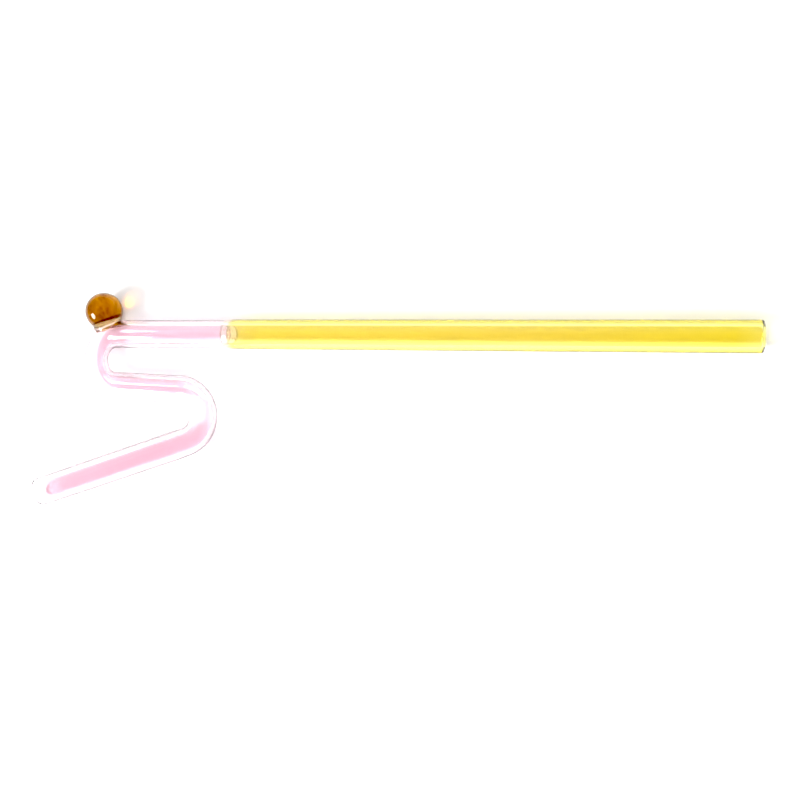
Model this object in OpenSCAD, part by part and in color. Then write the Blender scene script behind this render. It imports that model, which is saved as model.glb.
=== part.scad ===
// Bent glass drinking straw, lying flat, in millimetres.
// The straight yellow tube runs along +X from the origin to its dip end. The pink tube starts at the
// fused seam behind the origin and makes two bends in the XY plane, up to the mouth end. The amber
// ball is fused to the outside of the first bend. +Z points up, away from the table.

/* [Straight tube] */
// Length of the straight tube, from the seam to the dip end
stem_len = 138.9; // [120:0.1:170]
// Outside diameter of the straight tube
stem_od = 8; // [7.6:0.1:8.6]

/* [Both tubes] */
// Bore that runs through both tubes and the seam
bore_d = 5; // [4.4:0.1:5.4]
// Width of the fused seam ring between the tubes
seam_w = 2; // [1:0.1:3]

/* [Wiggle tube] */
// Outside diameter of the bent tube, from the seam to the second bend
wiggle_od = 7.7; // [7.4:0.1:8]
// How much thinner the glass is drawn in the bends, on the outside and the bore alike
bend_draw = 0.1; // [0.06:0.02:0.3]
// Length of the run between the seam and the first bend
first_run = 33.8; // [28:0.1:40]
// Centreline radius of the first bend
first_bend_r = 7.2; // [6.8:0.1:9]
// Turn of the first bend, in degrees
first_bend_angle = 178; // [170:1:184]
// Length of the run between the two bends
middle_run = 20.5; // [16:0.5:26]
// Centreline radius of the second bend
second_bend_r = 7.3; // [6.8:0.1:9]
// Turn of the second bend, in degrees
second_bend_angle = 159.5; // [150:0.5:168]
// Length of the run from the second bend to the mouth end
mouth_run = 49.1; // [40:0.1:60]
// Outside diameter of that run, where the tube wasn't drawn thinner
mouth_od = 8; // [7.6:0.1:8.6]

/* [Ball] */
// Diameter of the ball
ball_d = 10.3; // [9:0.1:11]
// Distance from the bent tube's centreline to the middle of the ball
ball_reach = 6.8; // [6.4:0.1:7.4]
// How far round the first bend the ball sits, in degrees from the bend's start
ball_angle = 15; // [8:1:24]

/* [Ball foot] */
// Diameter of the fused foot under the ball
foot_d = 8.4; // [8.2:0.1:9]
// Thickness of the foot where it is thinnest, between the ball and the tube
foot_gap = 0.1; // [0.06:0.02:0.3]
// Rounding of the foot's lip where it laps over the tube
foot_lip_r = 1.6; // [1:0.1:2]
// How high the foot's lip stops above the tube's centreline
foot_lip_h = 1; // [0.6:0.1:1.6]

/* [Hidden] */
$fn = 96;

stem_r = stem_od / 2;
wiggle_r = wiggle_od / 2;
mouth_r = mouth_od / 2;
bore_r = bore_d / 2;
ball_r = ball_d / 2;
foot_r = foot_d / 2;

// The seam's step down from the straight tube to the bent tube is swollen a little.
seam_bulge = 0.06;

// The ball rests on the same surface as the straight tube, so its middle is lifted.
ball_lift = ball_r - stem_r;
ball_tilt = asin(ball_lift / ball_reach);

// Flat between the ball and its foot, measured from the tube's centreline.
seat_h = wiggle_r + foot_gap;

// Each bend laps this far into the runs beside it, in degrees.
bend_lap = 1.5;

// Length of the mouth end that is turned in one piece with its polished rim.
rim_len = 4;

// Longer than anything that a cut has to clear.
clear = 30;

// Half of a tube's wall, with the open end fire polished to a full round.
module polished_wall(outer_r, length) {
    wall = outer_r - bore_r;
    translate([bore_r, 0]) square([wall, length - wall / 2]);
    translate([bore_r + wall / 2, length - wall / 2]) circle(d = wall);
}

// Tube along +X with one polished end.
module polished_tube(outer_r, length)
    rotate([0, 90, 0]) rotate_extrude() polished_wall(outer_r, length);

// Solid rod from the local origin along +X.
module run(d, length) rotate([0, 90, 0]) cylinder(d = d, h = length);

// Solid bend to the left, starting at the local origin along +X.
module bend(d, r, angle)
    translate([0, r, 0]) rotate([0, 0, -90])
        rotate_extrude(angle = angle + 2 * bend_lap, start = -bend_lap)
            translate([r, 0]) circle(d = d - bend_draw);

// Moves its children to the far end of a straight piece, or of a bend to the left.
module after_run(length) translate([length, 0, 0]) children();
module after_bend(r, angle)
    translate([0, r, 0]) rotate([0, 0, angle]) translate([0, -r, 0]) children();

// Moves its children to the seam's pink side, facing along the bent tube.
module at_wiggle_start() translate([-seam_w, 0, 0]) rotate([0, 0, 180]) children();

// Moves its children to the ball's seat, with +Z from the tube's centreline to the ball.
module at_ball_seat()
    at_wiggle_start() after_run(first_run) after_bend(first_bend_r, ball_angle)
        rotate([90 - ball_tilt, 0, 0]) children();

module straight_tube() color("gold") polished_tube(stem_r, stem_len);

// The bent tube's first run and first bend as a solid rod, which the ball's foot is shaped to.
module start_of_wiggle(d) {
    run(d, first_run);
    after_run(first_run) bend(d, first_bend_r, first_bend_angle);
}

// Moves its children to the far end of the second bend.
module after_second_bend()
    after_run(first_run) after_bend(first_bend_r, first_bend_angle) after_run(middle_run)
        mirror([0, 1, 0]) after_bend(second_bend_r, second_bend_angle) children();

// The whole bent tube as a solid rod, up to the mouth end's polished piece.
module wiggle_rod(d, mouth_d) {
    start_of_wiggle(d);
    after_run(first_run) after_bend(first_bend_r, first_bend_angle) {
        run(d, middle_run);
        after_run(middle_run) mirror([0, 1, 0]) bend(d, second_bend_r, second_bend_angle);
    }
    after_second_bend() run(mouth_d, mouth_run - rim_len);
}

module wiggle_tube() color("lightpink") at_wiggle_start() {
    difference() {
        wiggle_rod(wiggle_od, mouth_od);
        wiggle_rod(bore_d, bore_d);
    }
    after_second_bend() after_run(mouth_run - rim_len) polished_tube(mouth_r, rim_len);
}

module fused_seam() color("cornsilk") rotate([0, -90, 0]) rotate_extrude() polygon([
    [bore_r, 0], [stem_r, 0], [stem_r, seam_w / 3],
    [wiggle_r + seam_bulge, seam_w * 2 / 3], [wiggle_r, seam_w], [bore_r, seam_w]
]);

module ball() color("darkorange") at_ball_seat() difference() {
    translate([0, 0, ball_reach]) sphere(r = ball_r);
    translate([0, 0, seat_h - clear]) cylinder(r = ball_d, h = clear);
}

// Outline of the foot before the tube is cut out of it, as a solid of revolution.
module foot_blank() rotate_extrude() {
    lip_edge = foot_r - foot_lip_r;
    lip_top = foot_lip_h + foot_lip_r;
    translate([0, foot_lip_h]) square([lip_edge, seat_h - foot_lip_h]);
    translate([0, lip_top]) square([foot_r, seat_h - lip_top]);
    intersection() {
        translate([lip_edge, lip_top]) circle(r = foot_lip_r);
        translate([lip_edge, foot_lip_h]) square([foot_lip_r, foot_lip_r]);
    }
}

module ball_foot() color("orange") difference() {
    at_ball_seat() foot_blank();
    at_wiggle_start() start_of_wiggle(wiggle_od);
}

straight_tube();
wiggle_tube();
fused_seam();
ball();
ball_foot();
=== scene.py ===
import math

import bmesh
import bpy
from mathutils import Matrix, Vector


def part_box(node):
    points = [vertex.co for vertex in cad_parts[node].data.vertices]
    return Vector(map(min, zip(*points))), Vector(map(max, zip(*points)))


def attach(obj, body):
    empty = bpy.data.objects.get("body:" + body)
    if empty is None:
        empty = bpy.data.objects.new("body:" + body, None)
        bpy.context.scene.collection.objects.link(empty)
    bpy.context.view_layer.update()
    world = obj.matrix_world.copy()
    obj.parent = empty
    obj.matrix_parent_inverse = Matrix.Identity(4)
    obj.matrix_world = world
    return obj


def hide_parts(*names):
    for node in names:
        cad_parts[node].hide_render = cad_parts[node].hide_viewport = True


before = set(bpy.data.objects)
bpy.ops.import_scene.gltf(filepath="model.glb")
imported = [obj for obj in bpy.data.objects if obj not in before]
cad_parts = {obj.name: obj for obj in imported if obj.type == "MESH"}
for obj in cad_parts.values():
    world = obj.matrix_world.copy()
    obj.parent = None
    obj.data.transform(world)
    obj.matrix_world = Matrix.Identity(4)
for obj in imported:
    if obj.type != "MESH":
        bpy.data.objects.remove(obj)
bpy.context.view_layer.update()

MM = 0.001
RIDE_BODY = "root"

# ---------------------------------------------------------------- sizes
# The straight tube lies along +X and gives the tube sizes. Everything is in metres.
STEM_LOW, STEM_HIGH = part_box("straight_tube")
STEM_R = (STEM_HIGH.z - STEM_LOW.z) / 2
STEM_LEN = STEM_HIGH.x
SEAM_LEN = -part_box("fused_seam")[0].x
INSET = 0.01 * MM                # the drawn mouth run stays this far inside the CAD one
WIGGLE_R = 3.85 * MM
MOUTH_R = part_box("wiggle_tube")[1].z - INSET
MOUTH_WIDENS = 4 * MM            # the tube widens to its mouth run over this length
BORE_R = 2.5 * MM
TABLE_Z = STEM_LOW.z

# The bent tube's route, as in the CAD model: runs and bends in the XY plane.
FIRST_RUN = 33.8 * MM
FIRST_BEND_R = 7.2 * MM
FIRST_BEND_ANGLE = math.radians(178)
MIDDLE_RUN = 20.5 * MM
SECOND_BEND_R = 7.3 * MM
SECOND_BEND_ANGLE = math.radians(159.5)
MOUTH_RUN = 49.1 * MM
WIGGLE_LEN = (FIRST_RUN + FIRST_BEND_R * FIRST_BEND_ANGLE + MIDDLE_RUN
              + SECOND_BEND_R * SECOND_BEND_ANGLE + MOUTH_RUN)
BEND_DRAW = 0.05 * MM            # how much the glass thins in the bends, on the radius
BEND_EASE = 3 * MM               # it thins over this length, at both ends of a bend

# The ball and its foot.
BALL_R = 5.145 * MM
BALL_REACH = 6.8 * MM            # from the tube's centreline to the ball's middle
BALL_ANGLE = math.radians(15)    # how far round the first bend
SEAT_H = 3.95 * MM               # the flat between ball and foot, from the tube's centreline
BALL_TILT = math.asin((BALL_R - STEM_R) / BALL_REACH)
BALL_TOP_LIFT = 89.5             # latitude of the ball's top ring, in degrees
BALL_FLAT_RINGS = (0.94, 0.5)    # rings on the ball's flat, as shares of its radius
BAND_H = 0.6 * MM                # the band of painted shade round the ball's flat, where it meets its foot
BAND_LEAN = 0.75                 # how much taller it is on one side
BAND_SIDE = math.radians(180)    # that side, round the seat from the tube's direction
BAND_FULL = 0.6                  # the band is full to this share of its height, and fades over as much again
FOOT_ALONG_R = 4.3 * MM          # half the foot's size on the tube, along it and across it
FOOT_ACROSS_R = 3.55 * MM
FOOT_COVER = 1.15                # the tube under the foot gets no painted edge shade, out to this share of the foot's size
FOOT_COVER_FADE = 0.1
FOOT_WAIST = 0.25 * MM           # how far the foot's side curves in
FOOT_WAIST_SIDE = 2 * MM         # where the side is at least this tall
FOOT_TOP_RINGS = (0.15, 0.5, 0.85)   # rings on the foot's top and underside, as shares of their size
FOOT_UNDER_RINGS = (0.96, 0.88, 0.78, 0.66, 0.54, 0.42, 0.3, 0.18, 0.08)

# Fused pieces reach this far into each other, so that no air gap shows between them.
FUSE = 0.02 * MM

# How finely the meshes are cut.
ROUND_STEPS = 128                # facets around a tube
STEM_STEPS = 140
RIM_STEPS = 20
SEAM_STEPS = 16
BALL_STEPS = 110
FOOT_STEPS = 14
ROUTE_STEP = 0.4 * MM
RIM_GAP = 0.1 * MM               # the bent tube's rings stop this far before its rim
HALVINGS = 40                    # tries at finding the tube's surface under the foot
SHARP_ANGLE = math.radians(35)   # edges that turn more than this stay crisp

# Point attributes.
DRAWN = "drawn"                  # place along the tube and around it
SHADE_BAND_MASK = "fused"                  # 1 in the band of painted shade where the ball meets its foot, 0 away from it
PAINTED_EDGE_MASK = "skin"                    # where the painted edge shade goes: 1 on a piece's bare outside, 0 in a bore and where it is joined to another piece
SKIN_DEPTH = 0.05 * MM           # how far in from the outside a tube's skin goes
WELD_LEN = 0.5 * MM              # the tubes' welded ends have no painted edge shade and are frosted over this length


# ---------------------------------------------------------------- mesh helpers
def smooth(t):
    """0 to 1 as t goes from 0 to 1, easing in and out."""
    t = min(1.0, max(0.0, t))
    return t * t * (3 - 2 * t)


def ring_angles():
    return [2 * math.pi * i / ROUND_STEPS for i in range(ROUND_STEPS)]


def arc(centre, radius, start, end, steps):
    """Points on an arc, as (along, out) pairs. Angles are in degrees."""
    points = []
    for i in range(steps + 1):
        a = math.radians(start + (end - start) * i / steps)
        points.append((centre[0] + radius * math.cos(a), centre[1] + radius * math.sin(a)))
    return points


def line(start, end, steps):
    """Points from start towards end, without the end point."""
    return [(start[0] + (end[0] - start[0]) * i / steps, start[1] + (end[1] - start[1]) * i / steps)
            for i in range(steps)]


def mark_points(obj, name, values):
    """Gives each point of a mesh a number, for materials to read."""
    mark = obj.data.attributes.new(name, "FLOAT", "POINT")
    mark.data.foreach_set("value", values)


def grid_mesh(name, rings, close_rings=True, caps=(), places=None):
    """A mesh from rings of points. Rings are joined in order, and the last to the first if asked.
    caps may hold "first" and "last": those rings are closed with a fan to their middle.
    places gives each ring's (distance along the tube, radius), for texture that follows the tube."""
    bm = bmesh.new()
    rows = [[bm.verts.new(p) for p in ring] for ring in rings]
    pairs = list(zip(rows, rows[1:]))
    if close_rings:
        pairs.append((rows[-1], rows[0]))
    for low, high in pairs:
        for i in range(ROUND_STEPS):
            j = (i + 1) % ROUND_STEPS
            bm.faces.new((low[i], low[j], high[j], high[i]))
    for cap in caps:
        row = rows[0] if cap == "first" else rows[-1]
        middle = bm.verts.new(sum((v.co for v in row), Vector()) / ROUND_STEPS)
        for i in range(ROUND_STEPS):
            bm.faces.new((row[i], row[(i + 1) % ROUND_STEPS], middle))
    bmesh.ops.recalc_face_normals(bm, faces=bm.faces)
    for edge in bm.edges:
        edge.smooth = edge.calc_face_angle(0) < SHARP_ANGLE
    mesh = bpy.data.meshes.new(name)
    bm.to_mesh(mesh)
    bm.free()
    mesh.polygons.foreach_set("use_smooth", [True] * len(mesh.polygons))
    if places:
        along = mesh.attributes.new(DRAWN, "FLOAT_VECTOR", "POINT")
        drawn = [(s, r * math.cos(a), r * math.sin(a)) for s, r in places for a in ring_angles()]
        along.data.foreach_set("vector", [c for place in drawn for c in place])
    obj = bpy.data.objects.new(name, mesh)
    bpy.context.scene.collection.objects.link(obj)
    return obj


def lathe_x(name, profile):
    """Turns a profile of (along X, radius) points about the X axis."""
    rings = [[Vector((x, r * math.cos(a), r * math.sin(a))) for a in ring_angles()] for x, r in profile]
    return grid_mesh(name, rings, places=profile)


def polished_rim(end_x, outer_r):
    """The full round of a fire-polished end, from the outside to the bore."""
    half_wall = (outer_r - BORE_R) / 2
    return arc((end_x - half_wall, BORE_R + half_wall), half_wall, 90, -90, RIM_STEPS)


def mark_painted_edge_mask(tube, places, length, outer_r, covered=lambda point: 0.0):
    """Marks where a tube's painted edge shade goes: its bare outside, away from its welded end and its
    polished rim. covered says how far a point lies under another piece, from 0 to 1."""
    half_wall = (outer_r - BORE_R) / 2
    ring_skin = []
    for s, r in places:
        outside = smooth((r - outer_r + SKIN_DEPTH) / SKIN_DEPTH)
        ring_skin.append(outside * smooth(s / WELD_LEN) * smooth((length - s - half_wall) / half_wall))
    skin = [ring_skin[v.index // ROUND_STEPS] * (1 - covered(v.co)) for v in tube.data.vertices]
    mark_points(tube, PAINTED_EDGE_MASK, skin)


# ---------------------------------------------------------------- the straight tube
def make_straight_tube():
    start = -FUSE
    rim = polished_rim(STEM_LEN, STEM_R)
    first_bore_x = rim[-1][0] - MM
    profile = line((start, STEM_R), rim[0], STEM_STEPS)
    profile += rim
    profile += line((first_bore_x, BORE_R), (start, BORE_R), STEM_STEPS)
    profile.append((start, BORE_R))
    tube = lathe_x("straight_tube_glass", profile)
    mark_painted_edge_mask(tube, profile, STEM_LEN, STEM_R)
    return tube


# ---------------------------------------------------------------- the fused seam
def make_seam():
    """A short ring of weld glass between the two tubes."""
    low, high = -SEAM_LEN - FUSE, FUSE
    outer, inner = [], []
    for i in range(SEAM_STEPS + 1):
        t = i / SEAM_STEPS
        x = low + (high - low) * t
        outer.append((x, WIGGLE_R + (STEM_R - WIGGLE_R) * smooth(t)))
        inner.append((x, BORE_R))
    return lathe_x("fused_seam_glass", outer + inner[::-1])


# ---------------------------------------------------------------- the bent tube
def wiggle_route():
    """Points along the bent tube's centreline, as (distance, point, heading, how far the glass is drawn
    thin by a bend, from 0 to 1)."""
    point, heading, distance = Vector((-SEAM_LEN, 0, 0)), math.pi, 0.0
    pieces = [
        (FIRST_RUN, 0.0),
        (FIRST_BEND_R * FIRST_BEND_ANGLE, 1 / FIRST_BEND_R),
        (MIDDLE_RUN, 0.0),
        (SECOND_BEND_R * SECOND_BEND_ANGLE, -1 / SECOND_BEND_R),
        (MOUTH_RUN, 0.0),
    ]
    route = [(distance, point.copy(), heading, 0.0)]
    for length, curvature in pieces:
        count = round(length / ROUTE_STEP)
        ds = length / count
        for i in range(count):
            middle = heading + curvature * ds / 2
            chord = ds if curvature == 0 else 2 * math.sin(abs(curvature) * ds / 2) / abs(curvature)
            point = point + Vector((math.cos(middle), math.sin(middle), 0)) * chord
            heading += curvature * ds
            distance += ds
            inside = min(i + 1, count - i) * ds / BEND_EASE if curvature else 0.0
            route.append((distance, point.copy(), heading, min(1.0, inside)))
    return route


def section(point, heading, radius):
    """A ring of the bent tube, square to its route."""
    side = Vector((-math.sin(heading), math.cos(heading), 0))
    return [point + side * (radius * math.cos(a)) + Vector((0, 0, radius * math.sin(a)))
            for a in ring_angles()]


def under_foot(point, to_seat):
    """1 where the ball's foot covers a point of the tube, fading to 0 outside it."""
    u, v, w = to_seat @ point
    if w <= 0:
        return 0.0
    out = math.hypot(u / FOOT_ALONG_R, v / FOOT_ACROSS_R)
    return smooth((FOOT_COVER - out) / FOOT_COVER_FADE)


def make_wiggle_tube():
    route = wiggle_route()
    total, end_point, end_heading, _ = route[-1]
    _, start_point, start_heading, _ = route[0]
    forward = Vector((math.cos(end_heading), math.sin(end_heading), 0))
    backward = -Vector((math.cos(start_heading), math.sin(start_heading), 0))

    def outer_r(distance):
        past_bend = distance - (total - MOUTH_RUN)
        return WIGGLE_R + (MOUTH_R - WIGGLE_R) * smooth(past_bend / MOUTH_WIDENS)

    rings = [section(start_point + backward * FUSE, start_heading, r) for r in (BORE_R, WIGGLE_R)]
    places = [(-FUSE, BORE_R), (-FUSE, WIGGLE_R)]
    body = [row for row in route[1:] if row[0] < total - (MOUTH_R - BORE_R) / 2 - RIM_GAP]
    for distance, point, heading, thin in body:
        radius = outer_r(distance) - BEND_DRAW * thin
        rings.append(section(point, heading, radius))
        places.append((distance, radius))
    for along, radius in polished_rim(-INSET, MOUTH_R):
        rings.append(section(end_point + forward * along, end_heading, radius))
        places.append((total + along, radius))
    for distance, point, heading, thin in reversed(body):
        radius = BORE_R - BEND_DRAW * thin
        rings.append(section(point, heading, radius))
        places.append((distance, radius))
    tube = grid_mesh("wiggle_tube_glass", rings, places=places)
    to_seat = seat_frame()[1].inverted()
    mark_painted_edge_mask(tube, places, total, WIGGLE_R - BEND_DRAW, lambda point: under_foot(point, to_seat))
    return tube


# ---------------------------------------------------------------- the ball and its foot
def seat_frame():
    """The middle of the first bend, and the ball's seat: origin on the tube's centreline, Z towards the
    ball, X along the tube."""
    centre = Vector((-SEAM_LEN - FIRST_RUN, -FIRST_BEND_R, 0))
    out = Vector((-math.sin(BALL_ANGLE), math.cos(BALL_ANGLE), 0))
    origin = centre + out * FIRST_BEND_R
    axis = (out * math.cos(BALL_TILT) + Vector((0, 0, math.sin(BALL_TILT)))).normalized()
    along = Vector((-math.cos(BALL_ANGLE), -math.sin(BALL_ANGLE), 0))
    across = axis.cross(along).normalized()
    return centre, Matrix((
        (along.x, across.x, axis.x, origin.x),
        (along.y, across.y, axis.y, origin.y),
        (along.z, across.z, axis.z, origin.z),
        (0, 0, 0, 1),
    ))


def make_ball():
    """A sphere with a flat under it, for the foot. Its glass is painted darkest, as painted shade, in a thin
    band round the flat.
    """
    _, seat = seat_frame()
    flat = SEAT_H - FUSE - BALL_REACH
    edge = math.degrees(math.asin(flat / BALL_R))

    def ring(radius, height):
        return [seat @ Vector((radius * math.cos(a), radius * math.sin(a), height)) for a in ring_angles()]

    rings, fused = [], []
    for i in range(BALL_STEPS + 1):
        lift = math.radians(BALL_TOP_LIFT - (BALL_TOP_LIFT - edge) * i / BALL_STEPS)
        z = BALL_R * math.sin(lift)
        rings.append(ring(BALL_R * math.cos(lift), z + BALL_REACH))
        above = z - flat
        for a in ring_angles():
            band = BAND_H * (1 + BAND_LEAN * math.cos(a - BAND_SIDE))
            fused.append(1 - smooth((above / band - BAND_FULL) / BAND_FULL))
    skin = [1 - share for share in fused]
    for share in BALL_FLAT_RINGS:
        rings.append(ring(BALL_R * math.cos(math.radians(edge)) * share, flat + BALL_REACH))
    ball = grid_mesh("ball_glass", rings, close_rings=False, caps=("first", "last"))

    # The last two points are the middles of the top and of the flat.
    flat_points = [0.0] * (ROUND_STEPS * len(BALL_FLAT_RINGS))
    mark_points(ball, SHADE_BAND_MASK, fused + flat_points + [0.0, 0.0])
    mark_points(ball, PAINTED_EDGE_MASK, skin + flat_points + [1.0, 0.0])
    return ball


def tube_height(u, v, seat, bend_centre):
    """Height of the bent tube's surface above (u, v) of the seat plane, by halving."""
    low, high = -1.0 * MM, SEAT_H
    for _ in range(HALVINGS):
        middle = (low + high) / 2
        p = seat @ Vector((u, v, middle)) - bend_centre
        out = math.hypot(p.x, p.y) - FIRST_BEND_R
        inside = math.hypot(out, p.z) < WIGGLE_R - BEND_DRAW
        low, high = (middle, high) if inside else (low, middle)
    return low


def make_foot():
    """The foot flares from the ball's flat to a saddle on the tube."""
    bend_centre, seat = seat_frame()
    top_r = math.sqrt(BALL_R ** 2 - (BALL_REACH - SEAT_H) ** 2)
    angles = ring_angles()
    saddle_r = [FOOT_ALONG_R * FOOT_ACROSS_R
                / math.hypot(FOOT_ACROSS_R * math.cos(a), FOOT_ALONG_R * math.sin(a)) for a in angles]

    def top_ring(share):
        return [Vector((top_r * share * math.cos(a), top_r * share * math.sin(a), SEAT_H)) for a in angles]

    def saddle_ring(share):
        ring = []
        for a, r in zip(angles, saddle_r):
            u, v = r * share * math.cos(a), r * share * math.sin(a)
            ring.append(Vector((u, v, tube_height(u, v, seat, bend_centre) - FUSE)))
        return ring

    rings = [top_ring(share) for share in FOOT_TOP_RINGS]
    rim, lip = top_ring(1), saddle_ring(1)
    for i in range(FOOT_STEPS + 1):
        t = i / FOOT_STEPS
        waist = FOOT_WAIST * math.sin(math.pi * t)
        ring = []
        for a, top, foot in zip(angles, rim, lip):
            inward = -Vector((math.cos(a), math.sin(a), 0))
            side = min(1.0, (top - foot).length / FOOT_WAIST_SIDE)
            ring.append(top.lerp(foot, t) + inward * waist * side)
        rings.append(ring)
    rings += [saddle_ring(share) for share in FOOT_UNDER_RINGS]
    rings = [[seat @ p for p in ring] for ring in rings]
    return grid_mesh("ball_foot_glass", rings, close_rings=False, caps=("first", "last"))


# ---------------------------------------------------------------- materials
GLASS_IOR = 1.473
WHITE = (1, 1, 1)
MIX_A, MIX_B, MIX_RESULT = 6, 7, 2   # a Mix node's colour sockets

# The tubes' colour lies mostly in a thin lining of the bore. Colours along each tube, by share of its length.
YELLOW_LINING = [(0.0, (0.98, 0.87, 0.72)), (0.6, (0.97, 0.84, 0.66)), (0.95, (0.97, 0.87, 0.45)),
                 (1.0, (0.97, 0.90, 0.70))]
PINK_FIRST = (0.985, 0.79, 0.865)
# Painted light: the pink is made pale over part of the second bend, standing in for the lit table showing
# through the bore there.
PINK_PAINTED_LIGHT = (1.0, 0.93, 0.97)
PINK_MOUTH = (0.985, 0.735, 0.82)
PINK_LINING = [(0.0, PINK_FIRST), (0.50, PINK_FIRST), (0.565, PINK_PAINTED_LIGHT), (0.60, PINK_PAINTED_LIGHT),
               (0.64, PINK_MOUTH), (1.0, PINK_MOUTH)]
LINING_EDGE = 0.3 * MM           # the lining's colour ends this far outside the bore

# Painted shade: the glass's colour is darkened, to black, between these, where 0 is face-on and 1 is edge-on,
# so that its outlines come out dark.
EDGE_START, EDGE_END = 0.55, 0.80
PAINTED_EDGE_SHADE = (0, 0, 0)

# Faint streaks, stretched along a tube or even in all directions.
TUBE_STREAKS = (3, 600, 600)
FINE_STREAKS = (300, 300, 300)
BALL_STREAKS = (130, 130, 130)
STREAK_LOW, STREAK_HIGH = 0.35, 0.65     # the streak noise turns from the streak's tint to clear glass
RIPPLE_STRENGTH = 0.004
RIPPLE_DEPTH = 0.01 * MM

# Tiny specks in the weld glass.
SPECK_SCALE = 1800.0
SPECK_START, SPECK_FULL = 0.64, 0.70

# Smudges make the surface less glossy, and welding frosts it.
SMUDGE_SCALE = 110.0
SMUDGE_START, SMUDGE_FULL = 0.45, 0.75
WELD_FROST = 0.15

TABLE_GREYS = (0.88, 0.92)
TABLE_GRAIN = 400.0
TABLE_ROUGHNESS = 0.6
TABLE_GLOW = 0.10


class Graph:
    """Short ways to add nodes to a node tree."""

    def __init__(self, tree):
        self.nodes = tree.nodes
        self.links = tree.links

    def new(self, kind, **settings):
        node = self.nodes.new("ShaderNode" + kind)
        for name, value in settings.items():
            setattr(node, name, value)
        return node

    def link(self, source, target):
        self.links.new(source, target)

    def attribute(self, name, output):
        return self.new("Attribute", attribute_name=name).outputs[output]

    def noise(self, scale, detail, vector=None, distortion=0.0):
        node = self.new("TexNoise")
        node.inputs["Scale"].default_value = scale
        node.inputs["Detail"].default_value = detail
        node.inputs["Distortion"].default_value = distortion
        if vector:
            self.link(vector, node.inputs["Vector"])
        return node.outputs["Fac"]

    def ramp(self, factor, stops):
        """A colour ramp through stops, which are (place, colour) pairs from low to high."""
        node = self.new("ValToRGB")
        elements = node.color_ramp.elements
        elements[0].position, elements[-1].position = stops[0][0], stops[-1][0]
        for place, _ in stops[1:-1]:
            elements.new(place)
        for element, (_, colour) in zip(elements, stops):
            element.color = (*colour, 1)
        self.link(factor, node.inputs["Fac"])
        return node.outputs["Color"]

    def rise(self, value, start, end, low=0.0, high=1.0):
        """low at start, rising to high at end."""
        node = self.new("MapRange")
        for name, number in (("From Min", start), ("From Max", end), ("To Min", low), ("To Max", high)):
            node.inputs[name].default_value = number
        self.link(value, node.inputs["Value"])
        return node.outputs["Result"]

    def multiply(self, first, second):
        node = self.new("Mix", data_type="RGBA", blend_type="MULTIPLY")
        node.inputs["Factor"].default_value = 1.0
        self.link(first, node.inputs[MIX_A])
        self.link(second, node.inputs[MIX_B])
        return node.outputs[MIX_RESULT]

    def tint_where(self, factor, colour):
        """White where factor is 0, and the colour where it is 1."""
        node = self.new("Mix", data_type="RGBA")
        self.link(factor, node.inputs["Factor"])
        node.inputs[MIX_A].default_value = (*WHITE, 1)
        self.link(colour, node.inputs[MIX_B])
        return node.outputs[MIX_RESULT]


def new_material(name):
    """A material, with its graph and its Principled shader's inputs."""
    material = bpy.data.materials.new(name)
    material.use_nodes = True
    graph = Graph(material.node_tree)
    return material, graph, graph.nodes["Principled BSDF"].inputs


def along_tube(graph, drawn):
    """How far along its tube a point is."""
    split = graph.new("SeparateXYZ")
    graph.link(drawn, split.inputs["Vector"])
    return split.outputs["X"]


def tube_radius(graph, drawn):
    """How far a point of a tube is from the tube's centreline."""
    around = graph.new("VectorMath", operation="MULTIPLY")
    around.inputs[1].default_value = (0, 1, 1)
    graph.link(drawn, around.inputs[0])
    radius = graph.new("VectorMath", operation="LENGTH")
    graph.link(around.outputs["Vector"], radius.inputs[0])
    return radius.outputs["Value"]


def lining_colour(graph, drawn, length, stops):
    """The coloured lining of a tube's bore: white outside, and stops along the bore's length."""
    along = graph.rise(along_tube(graph, drawn), 0.0, length)
    inside = graph.rise(tube_radius(graph, drawn), BORE_R + LINING_EDGE, BORE_R)
    return graph.tint_where(inside, graph.ramp(along, stops))


def painted_edge_shade(graph):
    """Painted shade: glass seen edge-on is painted darker, to black, on its bare outside."""
    grazing = graph.new("LayerWeight")
    grazing.inputs["Blend"].default_value = 0.5
    colour = graph.ramp(grazing.outputs["Facing"], [(EDGE_START, WHITE), (EDGE_END, PAINTED_EDGE_SHADE)])
    return graph.tint_where(graph.attribute(PAINTED_EDGE_MASK, "Fac"), colour)


def weld_frost(graph, drawn, roughness):
    """Roughness with a tube's frosted welded end added."""
    frost = graph.new("Math", operation="MULTIPLY_ADD")
    graph.link(graph.rise(along_tube(graph, drawn), WELD_LEN, 0.0), frost.inputs[0])
    frost.inputs[1].default_value = WELD_FROST
    graph.link(roughness, frost.inputs[2])
    return frost.outputs["Value"]


def absorb(graph, keep_per_mm):
    """Tints the glass right through. keep_per_mm is the share of red, green and blue that is left after
    each millimetre."""
    loss = [-math.log(k) / MM for k in keep_per_mm]
    density = max(loss)
    volume = graph.new("VolumeAbsorption")
    volume.inputs["Density"].default_value = density
    volume.inputs["Color"].default_value = [1 - v / density for v in loss] + [1]
    graph.link(volume.outputs["Volume"], graph.nodes["Material Output"].inputs["Volume"])


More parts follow.
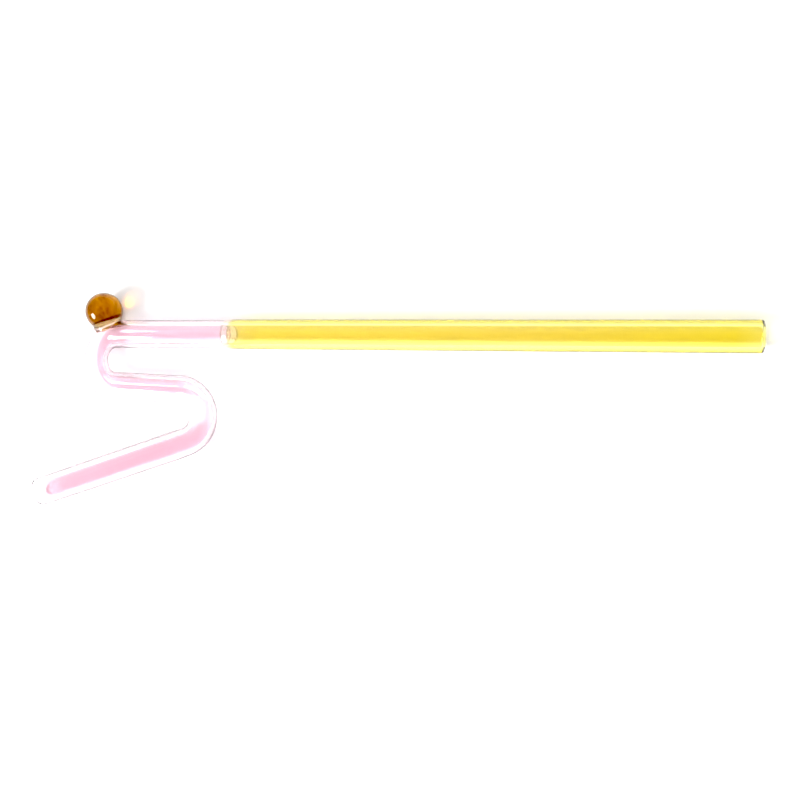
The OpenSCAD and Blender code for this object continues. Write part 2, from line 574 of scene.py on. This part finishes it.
def tinted_glass(name, keep_per_mm, lining=None, streak=(0.96, 0.96, 0.96), streak_scale=TUBE_STREAKS,
                 swirl=0.0, speck=None, fused=None, painted_dark_edge=True, smudge=(0.0, 0.008)):
    """Clear glass with a tint right through it. lining is for a tube: its length and the colours along its
    bore. streak is the tint of the faint streaks, and swirl bends them. speck is the colour of the tiny
    specks. The band colour is painted shade on the glass where the ball meets its foot, and the dark edge is
    painted shade on glass seen edge-on. smudge is the roughness of clean and of smudged glass."""
    material, graph, shader = new_material(name)
    shader["Transmission Weight"].default_value = 1.0
    shader["IOR"].default_value = GLASS_IOR
    place = graph.new("TexCoord").outputs["Object"]
    drawn = graph.attribute(DRAWN, "Vector") if lining else None

    stretch = graph.new("Mapping")
    stretch.inputs["Scale"].default_value = streak_scale
    graph.link(drawn if lining else place, stretch.inputs["Vector"])
    streaks = graph.noise(1.0, 3.0, stretch.outputs["Vector"], swirl)

    colour = graph.ramp(streaks, [(STREAK_LOW, streak), (STREAK_HIGH, WHITE)])
    if lining:
        colour = graph.multiply(colour, lining_colour(graph, drawn, *lining))
    if speck:
        specks = graph.ramp(graph.noise(SPECK_SCALE, 1.0, place), [(SPECK_START, WHITE), (SPECK_FULL, speck)])
        colour = graph.multiply(colour, specks)
    # Painted shade: the ball's glass is darkened in a band round where it meets its foot.
    if fused:
        band = graph.ramp(graph.attribute(SHADE_BAND_MASK, "Fac"), [(0.0, WHITE), (1.0, fused)])
        colour = graph.multiply(colour, band)
    # Painted shade: darkens the glass's colour where it is seen edge-on.
    if painted_dark_edge:
        colour = graph.multiply(colour, painted_edge_shade(graph))
    graph.link(colour, shader["Base Color"])

    roughness = graph.rise(graph.noise(SMUDGE_SCALE, 4.0, place), SMUDGE_START, SMUDGE_FULL, *smudge)
    if lining:
        roughness = weld_frost(graph, drawn, roughness)
    graph.link(roughness, shader["Roughness"])

    ripple = graph.new("Bump")
    ripple.inputs["Strength"].default_value = RIPPLE_STRENGTH
    ripple.inputs["Distance"].default_value = RIPPLE_DEPTH
    graph.link(streaks, ripple.inputs["Height"])
    graph.link(ripple.outputs["Normal"], shader["Normal"])
    absorb(graph, keep_per_mm)
    return material


def table_material():
    material, graph, shader = new_material("table_white")
    low, high = TABLE_GREYS
    grain = graph.ramp(graph.noise(TABLE_GRAIN, 2.0), [(0.0, (low, low, low)), (1.0, (high, high, high))])
    graph.link(grain, shader["Base Color"])
    shader["Roughness"].default_value = TABLE_ROUGHNESS
    shader["Emission Color"].default_value = (*WHITE, 1)
    shader["Emission Strength"].default_value = TABLE_GLOW
    return material


def dress(obj, node, material):
    """Gives a piece its material, and puts it in the CAD node's place."""
    obj.data.materials.clear()
    obj.data.materials.append(material)
    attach(obj, RIDE_BODY)
    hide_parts(node)


def make_straw():
    dress(make_straight_tube(), "straight_tube",
          tinted_glass("yellow_glass", (0.999, 0.985, 0.74), lining=(STEM_LEN, YELLOW_LINING)))
    dress(make_wiggle_tube(), "wiggle_tube",
          tinted_glass("pink_glass", (0.999, 0.980, 0.988), lining=(WIGGLE_LEN, PINK_LINING)))
    dress(make_seam(), "fused_seam",
          tinted_glass("seam_glass", (0.998, 0.975, 0.93), streak_scale=FINE_STREAKS,
                       speck=(0.45, 0.35, 0.25), painted_dark_edge=False, smudge=(0.05, 0.30)))
    # The ball's band colour is painted shade where it meets its foot.
    dress(make_ball(), "ball",
          tinted_glass("amber_glass", (0.925, 0.845, 0.50), streak=(0.42, 0.24, 0.10),
                       streak_scale=BALL_STREAKS, swirl=3.0, fused=(0.10, 0.03, 0.01), smudge=(0.0, 0.02)))
    dress(make_foot(), "ball_foot",
          tinted_glass("foot_glass", (0.995, 0.98, 0.90), streak=(0.99, 0.98, 0.96),
                       streak_scale=FINE_STREAKS, painted_dark_edge=False, smudge=(0.08, 0.20)))


# ---------------------------------------------------------------- the camera
CAMERA_TARGET = Vector((48.1, -16.7, 0)) * MM
CAMERA_DISTANCE = 360 * MM
CAMERA_ELEVATION = math.radians(70.1)    # above the table, from the dip end's side
CAMERA_ROLL = math.radians(1.2)
CAMERA_LENS = 63
CAMERA_SENSOR = 36
CAMERA_CLIP = 5 * MM


def make_camera():
    data = bpy.data.cameras.new("camera")
    data.lens = CAMERA_LENS
    data.sensor_width = CAMERA_SENSOR
    data.clip_start = CAMERA_CLIP
    camera = bpy.data.objects.new("camera", data)
    bpy.context.scene.collection.objects.link(camera)
    back = Vector((math.cos(CAMERA_ELEVATION), 0, math.sin(CAMERA_ELEVATION)))
    right = Vector((0, 1, 0)).cross(back).normalized()
    up = back.cross(right)
    turn = Matrix((right, up, back)).transposed().to_4x4() @ Matrix.Rotation(CAMERA_ROLL, 4, "Z")
    camera.matrix_world = Matrix.Translation(CAMERA_TARGET + back * CAMERA_DISTANCE) @ turn
    bpy.context.scene.camera = camera


# ---------------------------------------------------------------- the stage
TABLE_HALF = 1.5
LIGHT_AIM = Vector((-0.02, -0.01, TABLE_Z))
LIGHT_FROM = Vector((-0.67, -0.42, 0.61))      # from the aim towards the middle of the softbox
LIGHT_LONG_SIDE = Vector((0.79, -0.14, 0.55))  # which way the softbox's long side runs
LIGHT_DISTANCE = 1.0
LIGHT_SIZE = (0.42, 0.54)
LIGHT_WATTS = 12.5
SKY_HORIZON = 0.40
SKY_ABOVE = 0.93
SKY_RISE = 0.25                                # height at which the sky is as bright as it gets
EXPOSURE_STOPS = 0.12
BLACK_LEVEL = 0.06
GLASS_BOUNCES = 64
GLOSSY_BOUNCES = 12
BLUR_GLOSSY = 0.2


def make_stage():
    half = TABLE_HALF
    corners = ((-half, -half), (half, -half), (half, half), (-half, half))
    mesh = bpy.data.meshes.new("table")
    mesh.from_pydata([(x, y, TABLE_Z) for x, y in corners], [], [(0, 1, 2, 3)])
    table = bpy.data.objects.new("table", mesh)
    bpy.context.scene.collection.objects.link(table)
    table.data.materials.append(table_material())


def make_softbox():
    data = bpy.data.lights.new("softbox", "AREA")
    data.shape = "ELLIPSE"
    data.size, data.size_y = LIGHT_SIZE
    data.energy = LIGHT_WATTS
    light = bpy.data.objects.new("softbox", data)
    away = LIGHT_FROM.normalized()
    long_side = (LIGHT_LONG_SIDE - away * LIGHT_LONG_SIDE.dot(away)).normalized()
    axes = Matrix((long_side, away.cross(long_side), away)).transposed().to_4x4()
    light.matrix_world = Matrix.Translation(LIGHT_AIM + away * LIGHT_DISTANCE) @ axes
    bpy.context.scene.collection.objects.link(light)


def make_sky():
    """A studio sky that is darker near the horizon."""
    world = bpy.data.worlds.new("studio")
    world.use_nodes = True
    bpy.context.scene.world = world
    graph = Graph(world.node_tree)
    split = graph.new("SeparateXYZ")
    graph.link(graph.new("TexCoord").outputs["Generated"], split.inputs["Vector"])
    horizon, above = (SKY_HORIZON,) * 3, (SKY_ABOVE,) * 3
    sky = graph.ramp(split.outputs["Z"], [(0.0, horizon), (SKY_RISE, above), (1.0, above)])
    background = graph.nodes["Background"].inputs
    graph.link(sky, background["Color"])
    background["Strength"].default_value = 1.0


def set_look():
    """Exposure, and light paths that are long enough for glass."""
    scene = bpy.context.scene
    view = scene.view_settings
    view.view_transform = "Standard"
    view.exposure = EXPOSURE_STOPS
    view.use_curve_mapping = True
    view.curve_mapping.black_level = (BLACK_LEVEL, BLACK_LEVEL, BLACK_LEVEL)
    scene.cycles.transmission_bounces = GLASS_BOUNCES
    scene.cycles.max_bounces = GLASS_BOUNCES
    scene.cycles.glossy_bounces = GLOSSY_BOUNCES
    scene.cycles.sample_clamp_indirect = 0
    scene.cycles.blur_glossy = BLUR_GLOSSY


make_camera()
make_stage()
make_softbox()
make_sky()
make_straw()
set_look()
